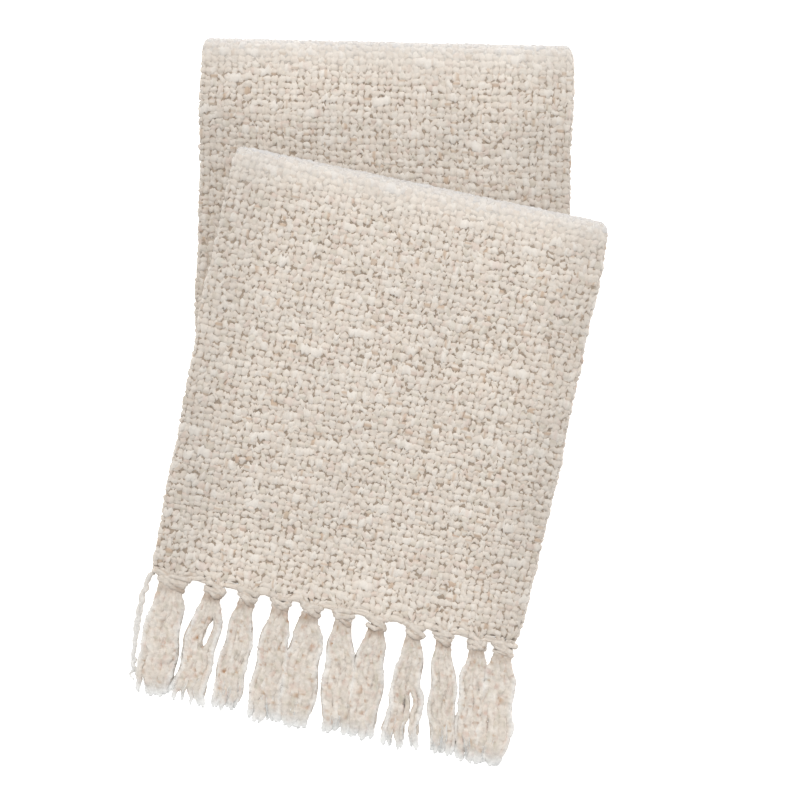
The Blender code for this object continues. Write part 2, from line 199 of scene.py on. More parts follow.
POINTS = fold_points()
FOLD_TURNS = [sum(pair) / 2 for pair in zip(HEADINGS, HEADINGS[1:])]


def fold_distance(fold, x, y):
    """How far a plan point lies past a fold's line, on the side that the fold bulges to."""
    across, along = heading_vector(FOLD_TURNS[fold])
    out = 1 if fold % 2 == 0 else -1
    return out * ((x - POINTS[fold + 1][0]) * across + (y - POINTS[fold + 1][1]) * along)


def fall_share(distance):
    """The share of its height that the flap has lost this far past the inner fold, with eased ends."""
    run = FALL_END - FALL_START
    done = np.clip(distance - FALL_START, 0.0, run)
    steep = run - FALL_BLEND
    start = done * done / (2 * FALL_BLEND * steep)
    end = 1 - (run - done) ** 2 / (2 * FALL_BLEND * steep)
    return np.where(done < FALL_BLEND, start, np.where(done > steep, end, (done - FALL_BLEND / 2) / steep))


def puff(distance):
    """How far a section stands up at this distance behind its fold."""
    return PUFF * (1 - np.exp(-np.maximum(distance, 0.0) / PUFF_REACH))


def settle(x, y, z, level):
    """Lowers and waves the flat stack's points. Level runs from 0 in the bottom section to 3 in the flap."""
    on_bottom = -fold_distance(0, x, y)
    unheld = smooth((on_bottom - (LENGTHS[0] - 2 * FOLD_EDGE)) / SAG_RUN)
    rise = (puff(on_bottom) - SAG * unheld) * np.minimum(level, 1.0)
    rise = rise + puff(-fold_distance(2, x, y)) * np.maximum(level - 2, 0.0)
    across, along = heading_vector(HEADINGS[1])
    beside = (x - POINTS[1][0]) * along - (y - POINTS[1][1]) * across - STRIP_WIDTH / 2
    rise = rise - OVERHANG_DROOP * smooth(beside / OVERHANG) * smooth(level - 1)
    broad = np.sin(x / (61 * MM) + 0.8) * np.cos(y / (74 * MM))
    rise = rise + FACE_WAVE * (broad + 0.4 * np.sin(y / (33 * MM))) * level / 3
    fall = fall_share(fold_distance(1, x, y) - FOLD_EDGE) * np.maximum(level - 2, 0.0)
    return z + rise * (1 - fall) - 6 * FOLD_RADIUS * fall


def edge_wave(side, y):
    """How far the strip's left (-1) or right (1) edge strays at a plan place."""
    return EDGE_WAVE * (np.sin(y / (38 * MM) + 1.3 * side) + 0.6 * np.sin(y / (17 * MM) + side)) / 1.6


def section_end(number, end, x):
    """The plan point at place x across on the fold line or free edge at a section's start (0) or end (1)."""
    heading = HEADINGS[number]
    across, along = heading_vector(heading)
    point = POINTS[number + end]
    skew = 0.0
    if 0 < number + end < len(POINTS) - 1:
        skew = x * math.tan(math.radians(FOLD_TURNS[number + end - 1] - heading))
    return point[0] + x * along - skew * across, point[1] - x * across - skew * along


def waved(px, py, pz, level, x):
    """Finishes a strip point: its edges' waves and its settled height."""
    side = x / (STRIP_WIDTH / 2)
    px = px + edge_wave(-1, py) * (1 - side) / 2 + edge_wave(1, py) * (1 + side) / 2
    return np.stack(np.broadcast_arrays(px, py, settle(px, py, pz, level)), axis=-1)


def lying(number, px, py, x, height):
    """Strip points in a section that lies flat."""
    lift = height if number % 2 == 0 else -height
    return waved(px, py, STACK / 2 + number * 2 * FOLD_RADIUS + lift, float(number), x)


def folding(number, share, x, height):
    """Strip points this share of the way round a fold across."""
    face = 1 if number % 2 == 0 else -1
    turn = math.pi * share
    across, along = heading_vector(FOLD_TURNS[number])
    radius = FOLD_RADIUS - face * height
    out = radius * np.sin(turn) * face
    drawn_in = CORNER_IN * np.sin(turn) * np.abs(x / (STRIP_WIDTH / 2)) ** 8 * np.sign(x)
    px, py = section_end(number, 1, x)
    px, py = px + out * across - drawn_in * along, py + out * along + drawn_in * across
    lift = FOLD_RADIUS - radius * np.cos(turn)
    return waved(px, py, STACK / 2 + number * 2 * FOLD_RADIUS + lift, number + smooth(share), x)


def widened(number, share):
    """How much wider than the back the strip is here."""
    return 1 + FLAP_WIDER * np.clip(number - 2 + share, 0.0, 1.0)


def letter_fold(u, out):
    """The strip place (x, height) of cloth at u across and this far out from its middle.

    The middle panel starts at u = 0. The inner panel follows the left side fold, below 0, and the outer panel
    follows the right one."""
    u, out = np.broadcast_arrays(u, out)
    left, right = LAYER_PITCH / 2, LAYER_PITCH
    left_turn = np.clip(-u / (left + BULGE), 0.0, math.pi)
    right_turn = np.clip((u - PANEL) / (right + BULGE), 0.0, math.pi)
    inner = np.maximum(-u - LEFT_ARC, 0.0)
    outer = np.maximum(u - PANEL - RIGHT_ARC, 0.0)
    x = LEFT_CENTRE + np.clip(u, 0.0, PANEL)
    x = x - (left + out) * np.sin(left_turn) + (right + out) * np.sin(right_turn) + inner - outer
    height = -LAYER_PITCH - out
    height = np.where(u < 0, -left - (left + out) * np.cos(left_turn), height)
    return x, np.where(u > PANEL, -(right + out) * np.cos(right_turn), height)


INNER_LENGTH = STRIP_WIDTH - LEFT_EDGE - RIGHT_EDGE - SELVEDGE_IN
U_START, U_END = -LEFT_ARC - INNER_LENGTH, PANEL + RIGHT_ARC + INNER_LENGTH
RUNS = []  # the strip's stretches from its free end: section, fold, section and so on
for number in range(len(LENGTHS)):
    RUNS.append(("lie", number, section_run(number)))
    if number < len(LENGTHS) - 1:
        outside = (LAYER_PITCH + BULGE) * (1 - number % 2)
        RUNS.append(("fold", number, math.pi * (FOLD_RADIUS + outside)))
STARTS = np.concatenate([[0.0], np.cumsum([run for _, _, run in RUNS])])


def strip_points(s, x, height):
    """Points of the folded strip at s along it, x across it, and this high in its stack of three layers."""
    s, x, height = np.broadcast_arrays(s, x, height)
    places = np.zeros(s.shape + (3,))
    stretch = np.clip(np.searchsorted(STARTS, s, side="right") - 1, 0, len(RUNS) - 1)
    for place, (kind, number, run) in enumerate(RUNS):
        here = stretch == place
        if not here.any():
            continue
        share, across, up = (s[here] - STARTS[place]) / run, x[here], height[here]
        if kind == "fold":
            places[here] = folding(number, share, across * widened(number, 1.0), up)
            continue
        across = across * widened(number, share)
        (x0, y0), (x1, y1) = section_end(number, 0, across), section_end(number, 1, across)
        places[here] = lying(number, x0 + (x1 - x0) * share, y0 + (y1 - y0) * share, across, up)
    return places


def sheet_rows(drawn_back=0.0):
    """How far along the strip each row of the sheet lies, closer together round the folds."""
    rows = []
    for (kind, _, run), start in zip(RUNS, STARTS):
        count = FOLD_STEPS if kind == "fold" else math.ceil(run / ROW_STEP)
        rows += [start + run * step / count for step in range(count)]
    rows.append(STARTS[-1])
    rows[0] += drawn_back
    rows[-1] -= drawn_back
    return np.array(rows)[:, None]


def build_mesh(name, points, quads, tints, caps=(), uvs=None):
    """A smooth object from arrays of points, four-cornered faces, the points' colours and end caps."""
    mesh = bpy.data.meshes.new(name)
    points = np.asarray(points, np.float32).reshape(-1, 3)
    corners = np.concatenate([faces.ravel() for faces in (quads, *caps)]).astype(np.int32)
    totals = np.concatenate([np.full(*faces.shape, np.int32) for faces in (quads, *caps)])
    mesh.vertices.add(len(points))
    mesh.vertices.foreach_set("co", points.ravel())
    mesh.loops.add(len(corners))
    mesh.loops.foreach_set("vertex_index", corners)
    mesh.polygons.add(len(totals))
    mesh.polygons.foreach_set("loop_start", np.cumsum(totals, dtype=np.int32) - totals)
    mesh.update(calc_edges=True)
    layer = mesh.color_attributes.new("tint", "FLOAT_COLOR", "POINT")
    layer.data.foreach_set("color", np.asarray(tints, np.float32).ravel())
    if uvs is not None:
        layer = mesh.uv_layers.new(name="weave")
        layer.data.foreach_set("uv", np.asarray(uvs, np.float32).reshape(-1, 2)[corners].ravel())
    mesh.validate()
    mesh.shade_smooth()
    piece = bpy.data.objects.new(name, mesh)
    bpy.context.scene.collection.objects.link(piece)
    return piece


def from_top_folds(s):
    """How far along the cloth a place lies from the middle of the nearer of the two top folds."""
    return np.minimum(np.abs(s - (STARTS[1] + STARTS[2]) / 2), np.abs(s - (STARTS[5] + STARTS[6]) / 2))


def fold_smoothing_and_highlight(s):
    """How far the cloth is drawn smoother and painted paler, a painted highlight on the top folds: 1 on its
    two top folds, and 0 some 6 cm below them.
    """
    return 1 - smooth((from_top_folds(s) - SMOOTH_HIGHLIGHT_FULL) / SMOOTH_HIGHLIGHT_FADE)


def painted_shade(s, u):
    """How much darker the back section and the strip's sides are painted: painted shade below the flap and
    where the sides curve down.
    """
    back = smooth((s - STARTS[2] - 40 * MM) / (60 * MM)) * (s < STARTS[3])
    beside = smooth((np.abs(u - PANEL / 2) - 0.30 * PANEL) / (0.20 * PANEL))
    return 1 - BACK_PAINTED_SHADE * back - np.where(s > STARTS[6], FLAP_SIDES_PAINTED_SHADE, SIDES_PAINTED_SHADE) * beside


def corner_drawn(s, x):
    """Draws the flap's right-hand corner in towards its last knot."""
    beside = smooth((x - (STRIP_WIDTH / 2 - 30 * MM)) / (30 * MM))
    return x - CORNER_DRAW * beside * smooth((s - (STARTS[-1] - CORNER_RUN)) / CORNER_RUN)


def drawn_to_knots(s, x):
    """Draws the last rows together towards the knots at the flap's end, whose edge arches between them."""
    knots = np.array([row[0] * MM for row in FRONT_TASSELS]) / widened(3, 1.0)
    nearest = knots[np.abs(x[..., None] - knots).argmin(axis=-1)]
    aside = x - nearest
    pull = smooth((s - (STARTS[-1] - KNOT_PULL)) / KNOT_PULL)
    drawn = np.exp(-((aside / KNOT_REACH) ** 4))
    x = corner_drawn(s, x) - KNOT_DRAW * aside * pull * drawn
    return s + pull * (ARCH * np.exp(-((aside / ARCH_HALF) ** 2)) - ARCH_BACK), x


def covered(s, u):
    """Where woven yarns lie over the ground: 1 on the faces that show, 0 on hidden ones."""
    left, right = LEFT_REACH + COVER_PAST, PANEL + RIGHT_REACH + COVER_PAST
    side_in = SIDE_IN - COVER_PAST
    panel = smooth((u + left) / SIDE_FADE) * smooth((right - u) / SIDE_FADE)
    sides = 1 - smooth((u - side_in) / SIDE_FADE) * smooth((PANEL - side_in - u) / SIDE_FADE)
    back = smooth((s - BACK_FROM) / END_FADE) * smooth((BACK_TO - s) / END_FADE)
    return panel * np.maximum(sides, back + smooth((s - FLAP_FROM) / END_FADE))


def mixed(tints, colour, share):
    """Colours, moved this share of the way to another one."""
    return tints + (colour - tints) * np.asarray(share)[..., None]


def make_ground():
    """The ground as one closed sheet."""
    flat = np.linspace(0, 1, 12)
    u = np.concatenate([
        U_START + INNER_LENGTH * flat,
        -LEFT_ARC * np.linspace(1, 0, 6)[1:-1],
        PANEL * np.linspace(0, 1, 36),
        PANEL + RIGHT_ARC * np.linspace(0, 1, 9)[1:-1],
        U_END - INNER_LENGTH * flat[::-1],
    ])
    s = sheet_rows(GROUND_BACK)
    cover = covered(s, u[None])
    points, tints = [], []
    # where the yarns cover it, the ground gets painted shade, turning to a painted highlight on the top folds
    gap_shade_and_highlight = mixed(GAP_PAINTED_SHADE, FOLD_HIGHLIGHT_COLOUR, fold_smoothing_and_highlight(s))
    outer_face = CLOTH_THICK / 2 + (GROUND_OUT + 0.4 * MM * fold_smoothing_and_highlight(s) - CLOTH_THICK / 2) * cover
    # the painted shade in the holes is weaker round the side folds
    gap_shade_share = cover * np.where((u < 0) | (u > PANEL), 0.4, 1.0)
    for out, shown in ((outer_face, gap_shade_share), (-CLOTH_THICK / 2, 0 * cover)):
        x, height = letter_fold(u[None], out)
        points.append(strip_points(s, corner_drawn(s, x), height))
        tints.append(mixed(BARE_COLOUR, gap_shade_and_highlight, shown))
    points, tints = np.stack(points, axis=1), np.stack(tints, axis=1)
    uvs = np.stack(np.broadcast_arrays(u[None, None], s[:, None]), axis=-1)
    uvs = np.broadcast_to(uvs, points.shape[:3] + (2,))
    width, count = len(u), len(s)
    index = np.arange(count * 2 * width).reshape(count, 2, width)
    outer, inner = index[:, 0], index[:, 1]
    quads = [
        np.stack([outer[:-1, :-1], outer[:-1, 1:], outer[1:, 1:], outer[1:, :-1]], -1),
        np.stack([inner[:-1, :-1], inner[1:, :-1], inner[1:, 1:], inner[:-1, 1:]], -1),
        np.stack([outer[:-1, 0], outer[1:, 0], inner[1:, 0], inner[:-1, 0]], -1),
        np.stack([outer[:-1, -1], inner[:-1, -1], inner[1:, -1], outer[1:, -1]], -1),
        np.stack([outer[0, :-1], inner[0, :-1], inner[0, 1:], outer[0, 1:]], -1),
        np.stack([outer[-1, :-1], outer[-1, 1:], inner[-1, 1:], inner[-1, :-1]], -1),
    ]
    quads = np.concatenate([part.reshape(-1, 4) for part in quads])
    return build_mesh("cloth_ground", points + SHIFT, quads, tints, uvs=uvs)


def strip_shift():
    """Moves the folds, which are worked out from the strip's free end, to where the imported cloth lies."""
    u = np.linspace(U_START, U_END, 240)
    points = strip_points(sheet_rows(), *letter_fold(u[None], CLOTH_THICK / 2)).reshape(-1, 3)
    low, high = (np.array(corner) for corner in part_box("cloth"))
    middle = (low + high) / 2 - (points.min(axis=0) + points.max(axis=0)) / 2
    return np.array([low[0] - points[:, 0].min(), middle[1], 0.0])


SHIFT = strip_shift()
YARN_PITCH = 7.7 * MM
ROW_PHASE = STARTS[-1] % YARN_PITCH  # the last weft ends level with the cloth's end
# where whole rows of yarn show, on the back section and from the flap's fold on
BACK_FROM, BACK_TO = STARTS[1] - 3 * YARN_PITCH, STARTS[2] + 30 * YARN_PITCH
FLAP_FROM = STARTS[5] - 3 * YARN_PITCH
# the ground's colours: painted shade for the holes between the yarns, a plain cream for its bare faces, and a
# painted highlight for the top folds
GAP_PAINTED_SHADE, BARE_COLOUR, FOLD_HIGHLIGHT_COLOUR = map(linear, ("A69686", "CABFB2", "DCD7D0"))


def add_node(material, kind, settings, links=None):
    """Adds a node, sets its properties and inputs, and links inputs, by name or number, to other outputs."""
    node = material.node_tree.nodes.new("ShaderNode" + kind)
    for key, value in settings.items():
        if isinstance(key, str) and hasattr(node, key):
            setattr(node, key, value)
        else:
            node.inputs[key].default_value = value
    for key, output in (links or {}).items():
        material.node_tree.links.new(output, node.inputs[key])
    return node


def boucle_material(name, crumb, darkest, relief, weave_bump=False):
    """Boucle: undyed wool-blend yarn spun in tiny loops. It is quite matt, with a soft bloom of fibre at
    grazing angles, and its loops break each yarn into pale crumbs with shade between them."""
    material, shader = new_material(
        name, {"Roughness": 0.92, "Specular IOR Level": 0.15, "Sheen Weight": 0.25, "Sheen Roughness": 0.6}
    )
    place = add_node(material, "TexCoord", {}).outputs["Object"]
    tint = add_node(material, "Attribute", {"attribute_name": "tint"}).outputs["Color"]
    # crumbs the size of one spun loop
    crumb_settings = {"Scale": 1 / crumb, "Detail": 3.0, "Roughness": 0.6}
    crumbs = add_node(material, "TexNoise", crumb_settings, {"Vector": place}).outputs["Fac"]
    # patches of about 6 cm, where the fleece was a little darker
    patch_settings = {"Scale": 17.0, "Detail": 2.0}
    patches = add_node(material, "TexNoise", patch_settings, {"Vector": place}).outputs["Fac"]
    shades = {}
    for number, (pattern, low, high) in enumerate(((crumbs, darkest, 1.05), (patches, 0.97, 1.03))):
        limits = {1: 0.3, 2: 0.7, 3: low, 4: high}
        shades[number] = add_node(material, "MapRange", limits, {0: pattern}).outputs["Result"]
    both = add_node(material, "Math", {"operation": "MULTIPLY"}, shades).outputs[0]
    colour = add_node(material, "VectorMath", {"operation": "SCALE"}, {0: tint, 3: both})
    material.node_tree.links.new(colour.outputs["Vector"], shader.inputs["Base Color"])
    bump = add_node(material, "Bump", {"Strength": 0.7, "Distance": relief}, {"Height": crumbs})
    if weave_bump:
        bump = weave_relief(material, bump)
    material.node_tree.links.new(bump.outputs["Normal"], shader.inputs["Normal"])
    return material


def weave_relief(material, finer):
    """The plain weave's pebbles as relief, one to each 7.7 mm crossing, where no yarns are modelled."""
    weave = add_node(material, "UVMap", {"uv_map": "weave"}).outputs["UV"]
    half_turns = {"operation": "SCALE", 3: math.pi / YARN_PITCH}
    turns = add_node(material, "VectorMath", half_turns, {0: weave})
    waves = add_node(material, "VectorMath", {"operation": "SINE"}, {0: turns.outputs["Vector"]})
    split = add_node(material, "SeparateXYZ", {}, {0: waves.outputs["Vector"]})
    crossing = {0: split.outputs["X"], 1: split.outputs["Y"]}
    product = add_node(material, "Math", {"operation": "MULTIPLY"}, crossing)
    pebbles = add_node(material, "Math", {"operation": "ABSOLUTE"}, {0: product.outputs[0]})
    reliefs = {"Height": pebbles.outputs[0], "Normal": finer.outputs["Normal"]}
    return add_node(material, "Bump", {"Strength": 0.8, "Distance": 2.0 * MM}, reliefs)


ground_material = boucle_material(
    "undyed_boucle_ground", crumb=2.4 * MM, darkest=0.94, relief=0.7 * MM, weave_bump=True
)
ground = make_ground()
ground.data.materials.append(ground_material)
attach(ground, "root")
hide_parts("cloth")


# --- The woven yarns ---
# Thick boucle yarn in a plain weave, 7.7 mm from yarn to yarn both ways: warps run down the strip and wefts
# across it. The yarn is spun thick and thin, in undyed cream with short tan, pink and grey-green flecks, and
# the wefts are a little the fuller.
STEPS = 4  # stations along a yarn for each crossing
YARN_HALF = 1.8 * MM  # half a plain stretch's thickness
SWING = 1.15 * MM  # how far a yarn rises and dips as it passes over and under
LIFT = 0.5 * MM  # how far it strays from that
PINCH = 0.12  # how much narrower it is between crossings, where a small hole shows at each pebble's corners
LOOPS = 0.12  # how far its small spun loops stand out, as a share of its half thickness
RING = np.radians([195, 140, 90, 40, -15])
FLANK_PAINTED_LIGHT = np.array([1.05, 1.01, 0.99, 1.01, 1.05])  # painted light: the flanks, down in the grooves between neighbouring yarns, are painted a little paler to offset the shade there
FLOOR_CLEAR = 0.4 * MM
LEFT_SHOWS = 42 * MM  # how much of the back section shows past the flap's left edge
BACK_END = BACK_TO + 10 * YARN_PITCH  # and how far down
CREAM, PALE, SLUB, TAN = map(linear, ("D6CBBF", "DED6CC", "E4DED6", "AC855C"))
PINK, OLIVE, PAINTED_SHEEN_COLOUR = map(linear, ("C6A698", "B9B29F", "C2C4C9"))
# each kind of fleck's colour, length in stations, rarity and strength
FLECKS = ((TAN, 2, 1.4, 0.50), (PINK, 3, 1.0, 0.28), (OLIVE, 3, 0.9, 0.30), (SLUB, 3, 0.9, 0.40))
PAINTED_SHEEN_SHARE, PAINTED_SHEEN_REACH = 0.5, 14 * MM  # painted sheen: a cool grey tint along the top folds, for the gleam of their fibre in grazing light
chance = np.random.RandomState(7)


def drift(count, length, span):
    """Rows of slow random values along yarns, about -1 to 1, that change over span stations."""
    rough = chance.normal(size=(count, length + 4 * span))
    kernel = np.hanning(2 * span + 1)
    kernel /= np.sqrt((kernel**2).sum())
    return np.stack([np.convolve(row, kernel, mode="valid") for row in rough])[:, :length]


def yarn_tints(count, length, flecks=1.0, fullness=1.0, smoothing_and_highlight=0.0):
    """Colours along yarns: cream, each yarn a little its own shade, paler in full slubs, with soft flecks."""
    base = mixed(CREAM, PALE, np.clip(0.4 + 0.3 * drift(count, length, 3), 0, 1))
    base = base * (1 + 0.012 * chance.normal(size=(count, 1, 1)) + 0.025 * drift(count, length, 1)[..., None])
    base = mixed(base, SLUB, 0.6 * smooth((fullness - 1.2) / 0.3))
    # painted highlight along the top folds: there the yarn is painted paler and its flecks fade
    for colour, span, rarity, share in FLECKS:
        fleck = share * flecks * (1 - 0.7 * smoothing_and_highlight) * smooth((drift(count, length, span) - rarity) / 0.9)
        base = mixed(base, colour, fleck)
    base = mixed(base, SLUB, 0.2 * smoothing_and_highlight)
    base[..., 3] = 1.0
    return np.clip(base, 0, 1)


def ring_faces(rings):
    """Faces and end caps, turned to face out, of tubes from rings of points (yarn, station, side)."""
    sides = rings.shape[2]
    index = np.arange(rings[..., 0].size).reshape(rings.shape[:3])
    after = np.roll(index, -1, axis=2)
    quads = np.stack([index[:, :-1], index[:, 1:], after[:, 1:], after[:, :-1]], -1).reshape(-1, 4)
    caps = np.concatenate([index[:, 0], index[:, -1][:, ::-1]])
    corners = rings.reshape(-1, 3)[quads]
    normals = np.cross(corners[:, 1] - corners[:, 0], corners[:, 3] - corners[:, 0])
    middles = rings.reshape(-1, sides, 3).mean(axis=1)[quads[:, 0] // sides]
    if (normals * (corners.mean(axis=1) - middles)).sum() < 0:
        return quads[:, ::-1], caps[:, ::-1]
    return quads, caps


def yarn_piece(name, groups, material, woven=False):
    """A piece of many yarns, from groups of rings of points (yarn, station, side) and their colours."""
    points, quads, caps, colours, base = [], [], [], [], 0
    for rings, tints in groups:
        sides = rings.shape[2]
        faces, ends = ring_faces(rings)
        points.append(rings.reshape(-1, 3))
        # woven yarns get the painted light on their flanks
        shade = FLANK_PAINTED_LIGHT if woven else np.ones(sides)
        tints = tints if tints.ndim == 4 else tints[:, :, None]
        shaded = tints * np.stack([shade] * 3 + [np.ones(sides)], axis=-1)
        colours.append(np.clip(shaded, 0, 1).reshape(-1, 4))
        quads.append(faces + base)
        caps.append(ends + base)
        base += len(points[-1])
    points = np.concatenate(points) + SHIFT
    points[:, 2] = np.maximum(points[:, 2], FLOOR_CLEAR)
    piece = build_mesh(name, points, np.concatenate(quads), np.concatenate(colours), caps)
    piece.data.materials.append(material)
    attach(piece, "root")
    return piece


def thick_and_thin(count, length, uneven):
    """How full each yarn is along its run, and how far its neighbours push it aside, in yarn spacings."""
    full = 1 + uneven * (0.75 * drift(count, length, 9) + 0.5 * drift(count, length, 3))
    full = np.clip(full, 0.6, 1.65)
    near = np.arange(count)
    even = np.exp(-(((near[:, None] - near[None]) / 3.0) ** 2))
    even /= even.sum(axis=1, keepdims=True)
    full = full / (even @ full)  # the cloth is beaten up evenly, so that a full yarn has thin neighbours
    aside = np.cumsum(full - 1, axis=0) - (full - 1) / 2
    return full, aside - even @ aside


def weave(s_from, s_to, u_from, u_to):
    """Rings and colours of the warps and wefts in one stretch of the strip."""
    ends = np.arange(math.floor(u_from / YARN_PITCH), math.ceil(u_to / YARN_PITCH))
    rows = np.arange(round((s_from - ROW_PHASE) / YARN_PITCH), round((s_to - ROW_PHASE) / YARN_PITCH))
    ways = []
    for own, other, uneven, stray, first_over in (
        (ends, rows, 0.12, 0.08, 1),  # warps
        (rows, ends, 0.32, 0.17, -1),  # wefts, which are less even
    ):
        stations = np.linspace(other[0] - 0.5, other[-1] + 0.5, len(other) * STEPS + 1)
        shape = (len(own), len(stations))
        over = np.cos(math.pi * (own[:, None] + stations[None])) * first_over
        full, aside = thick_and_thin(*shape, uneven)
        run = ((stations + 0.5) * YARN_PITCH)[None, :, None]
        # how far the yarn is drawn smoother in relief and painted paler, as a painted highlight, along the
        # top folds
        smoothing_and_highlight = fold_smoothing_and_highlight((run[..., 0] if first_over == 1 else (own[:, None] + 0.5) * YARN_PITCH) + ROW_PHASE)
        loops = np.clip(LOOPS * chance.normal(size=shape + (len(RING),)), -2 * LOOPS, 2 * LOOPS)
        loops = 1 + loops * (1 - 0.5 * smoothing_and_highlight)[..., None]
        pinched = PINCH * (1 - over**2) * (1 - 0.6 * smoothing_and_highlight)
        wide = 1.08 + 0.06 * smoothing_and_highlight + 0.08 * over - pinched + 0.13 * drift(*shape, 1)
        half = 0.5 * YARN_PITCH * full * wide
        place = own[:, None] + 0.5 + 0.85 * aside + stray * (drift(*shape, 1) + 0.8 * drift(*shape, 3))
        place = place[..., None] * YARN_PITCH + half[..., None] * np.cos(RING) * loops
        slub = smooth((full - 1.33) / 0.2) if first_over == -1 else 0.0
        out = (SWING * (over + 1.1 * slub * (1 - over)) + LIFT * drift(*shape, 1)) * (1 - 0.5 * smoothing_and_highlight)
        out = out[..., None] + (YARN_HALF * full**0.5)[..., None] * np.sin(RING) * loops
        s, u = (run, place) if first_over == 1 else (place, run)
        u, s, out = np.broadcast_arrays(u, s + ROW_PHASE, out)
        # painted shade on the back section and the strip's sides
        shade = painted_shade(s[..., 0], u[..., 0])
        x, height = letter_fold(u, out)
        s, x = drawn_to_knots(s, x)
        tints = yarn_tints(*shape, 1.0, full, smoothing_and_highlight)
        tints[..., :3] *= shade[..., None]
        # painted sheen along the top folds
        painted_sheen = PAINTED_SHEEN_SHARE * np.exp(-((from_top_folds(s[..., 0]) / PAINTED_SHEEN_REACH) ** 2))
        ways.append((strip_points(s, x, height), mixed(tints, PAINTED_SHEEN_COLOUR, painted_sheen)))
    return ways


yarn_material = boucle_material("undyed_boucle_yarn", crumb=2.4 * MM, darkest=0.955, relief=0.4 * MM)
for zone, stretches in (
    ("flap", [(FLAP_FROM, STARTS[-1], -LEFT_REACH, PANEL + RIGHT_REACH)]),
    ("back", [
        (BACK_FROM, BACK_TO, -LEFT_REACH, PANEL + RIGHT_REACH),
        (BACK_TO, BACK_END, -LEFT_REACH, LEFT_SHOWS),
    ]),
    ("side", [
        (0.0, BACK_FROM, -LEFT_REACH, SIDE_IN),
        (BACK_END, FLAP_FROM, -LEFT_REACH, SIDE_IN),
        (0.0, BACK_FROM, PANEL - SIDE_IN, PANEL + RIGHT_REACH),
        (BACK_TO, FLAP_FROM, PANEL - SIDE_IN, PANEL + RIGHT_REACH),
    ]),
):
    woven = [weave(*stretch) for stretch in stretches]
    for way, name in enumerate(("warp", "weft")):
        groups = [ways[way] for ways in woven]
        yarn_piece(f"{zone}_{name}", groups, yarn_material, woven=True)


# --- The edges' own yarns ---
# Where a weft turns back it leaves a row of small loops down the selvedge. The last weft at each end is a
# full, loose one that follows the knots in shallow arches.
SELVEDGE_HALF, SELVEDGE_LOOP = 1.7 * MM, 0.8 * MM
LAST_WEFT_HALF, LAST_WEFT_TWIST = 1.9 * MM, 19 * MM  # each of its three plies, and the length of one twist


def square_to(paths, reference):
    """Unit directions square to each path: sideways to the reference direction, and towards it."""
    along = np.gradient(paths, axis=1)
    side = np.cross(along, np.broadcast_to(reference, paths.shape))
    side /= np.linalg.norm(side, axis=-1, keepdims=True)
    rise = np.cross(side, along)
    return side, rise / np.linalg.norm(rise, axis=-1, keepdims=True)


def tubes(paths, radii, reference, sides=6, flat=1.0):
    """Rings round paths (tube, station, xyz), half as wide as radii and flattened towards the reference."""
    side, rise = square_to(paths, reference)
    turns = math.tau * np.arange(sides) / sides
    radii = np.broadcast_to(radii, paths.shape[:2])[..., None, None]
    spokes = np.cos(turns)[:, None] * side[..., None, :] + flat * np.sin(turns)[:, None] * rise[..., None, :]
    return paths[..., None, :] + radii * spokes


def plied(paths, reference, offset, turn_length, flat=1.0):
    """Moves each path (ply, station, xyz) off its yarn's middle, to twist round it in each turn length."""
    lengths = np.cumsum(np.linalg.norm(np.gradient(paths, axis=1), axis=-1), axis=1)
    side, rise = square_to(paths, reference)
    first_turn = np.arange(len(paths))[:, None] / len(paths)
    turns = math.tau * (lengths / turn_length + first_turn) + 0.9 * drift(*paths.shape[:2], 5)
    aside, up = offset * np.cos(turns), offset * flat * np.sin(turns)
    return paths + aside[..., None] * side + up[..., None] * rise


s = np.arange(2 * MM, STARTS[-1] - 2 * MM, YARN_PITCH / 5)
loops = np.abs(np.sin(math.pi * s / YARN_PITCH))
selvedge = strip_points(s, *letter_fold(U_END + SELVEDGE_LOOP * loops, 0.0 * s))[None]
selvedge_rings = tubes(selvedge, SELVEDGE_HALF + 0.9 * MM * loops, (0, 0, 1), flat=0.9)
edge_groups = [(selvedge_rings, yarn_tints(1, len(s)))]

u = np.arange(U_START + 2 * MM, U_END - 2 * MM, 2.4 * MM)
x, height = letter_fold(u, 0.0 * u)
for s_end, inward, heading in ((STARTS[-1], 1, HEADINGS[3]), (0.0, -1, HEADINGS[0])):
    s, x_drawn = drawn_to_knots(np.full_like(x, s_end - 1.0 * MM * inward), x)
    path = np.repeat(strip_points(s, x_drawn, height)[None], 3, axis=0)
    outward = heading_vector(heading) + (0.0,)
    paths = plied(path, outward, 1.3 * MM, LAST_WEFT_TWIST)
    radii = LAST_WEFT_HALF * (1 + 0.16 * drift(3, len(u), 1))
    edge_groups.append((tubes(paths, radii, outward, 5), yarn_tints(3, len(u), 0.5)))
yarn_piece("edge_yarns", edge_groups, yarn_material)


# --- The bloom of loose fibre ---
# Brushed wool stands off the cloth as short curled fibres, which show wherever the cloth turns over: round
# the side folds and on the two top folds. Here each stands for several real ones.
FIBRES, FIBRE_STATIONS, FIBRE_HALF = 2000, 4, 0.17 * MM
FIBRE_ROOT, FIBRE_RISE, FIBRE_LEAN = 1.6 * MM, 3.0 * MM, 2.2 * MM
AT_SIDES = 0.62  # the share of them that are at the side folds


def between(low, high, count):
    """One even random value for each of this many yarns."""
    return chance.uniform(low, high, (count, 1))


